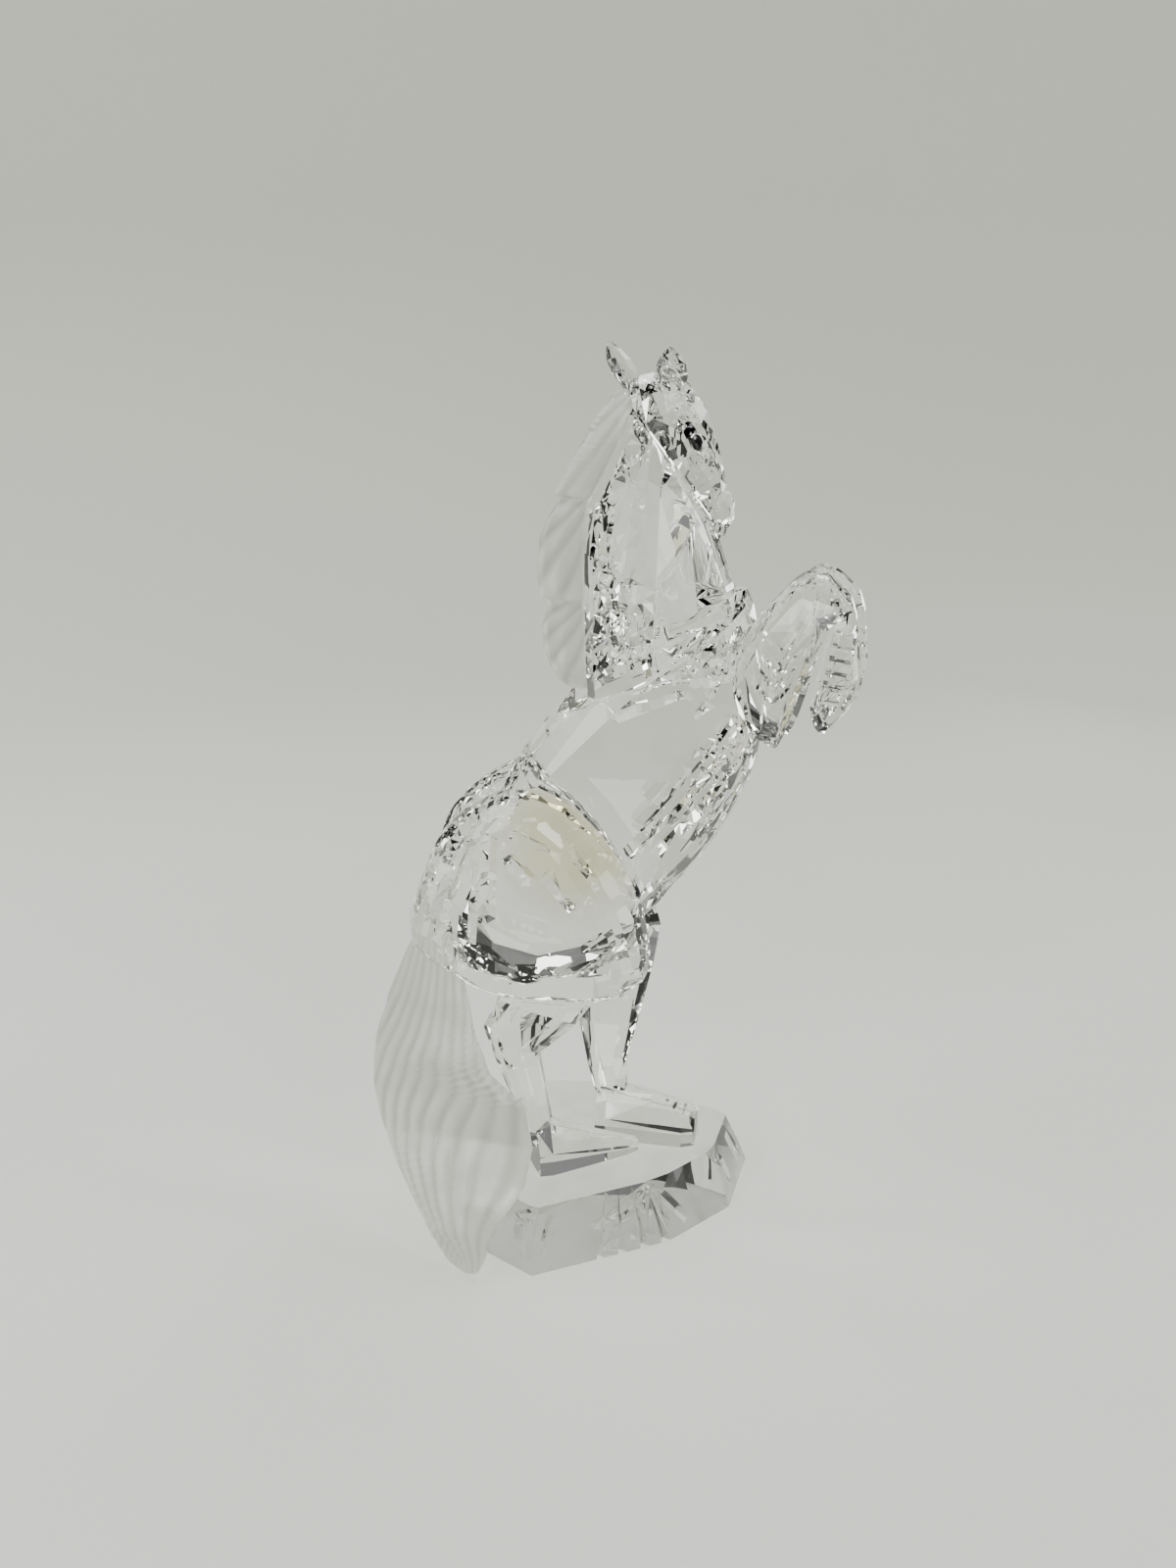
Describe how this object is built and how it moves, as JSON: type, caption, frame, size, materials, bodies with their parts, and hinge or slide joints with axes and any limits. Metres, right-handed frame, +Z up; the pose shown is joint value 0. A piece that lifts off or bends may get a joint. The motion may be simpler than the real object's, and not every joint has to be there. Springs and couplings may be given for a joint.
{
  "type": "crystal horse figurine",
  "caption": "Figurine of a rearing horse in clear cut crystal, with a frosted mane and tail, standing on a thick irregular crystal base.",
  "frame": {"origin": "middle of the base's flat underside, level with the ground", "axes": "+Z up, +X the way the horse faces, its right side towards -Y"},
  "size_m": [0.0853, 0.0588, 0.1558],
  "materials": {
    "clear_crystal": "cut and polished",
    "base_crystal": "polished sides, frosted top",
    "frosted_crystal": "frosted",
    "black_bead": "gloss"
  },
  "bodies": {
    "root": {"base": "base_crystal", "torso": "clear_crystal", "neck": "clear_crystal", "head": "clear_crystal", "right_foreleg": "clear_crystal", "left_foreleg": "clear_crystal", "right_hind_leg": "clear_crystal", "left_hind_leg": "clear_crystal", "mane": "frosted_crystal", "tail": "frosted_crystal", "right_eye": "black_bead", "left_eye": "black_bead"}
  },
  "joints": []
}
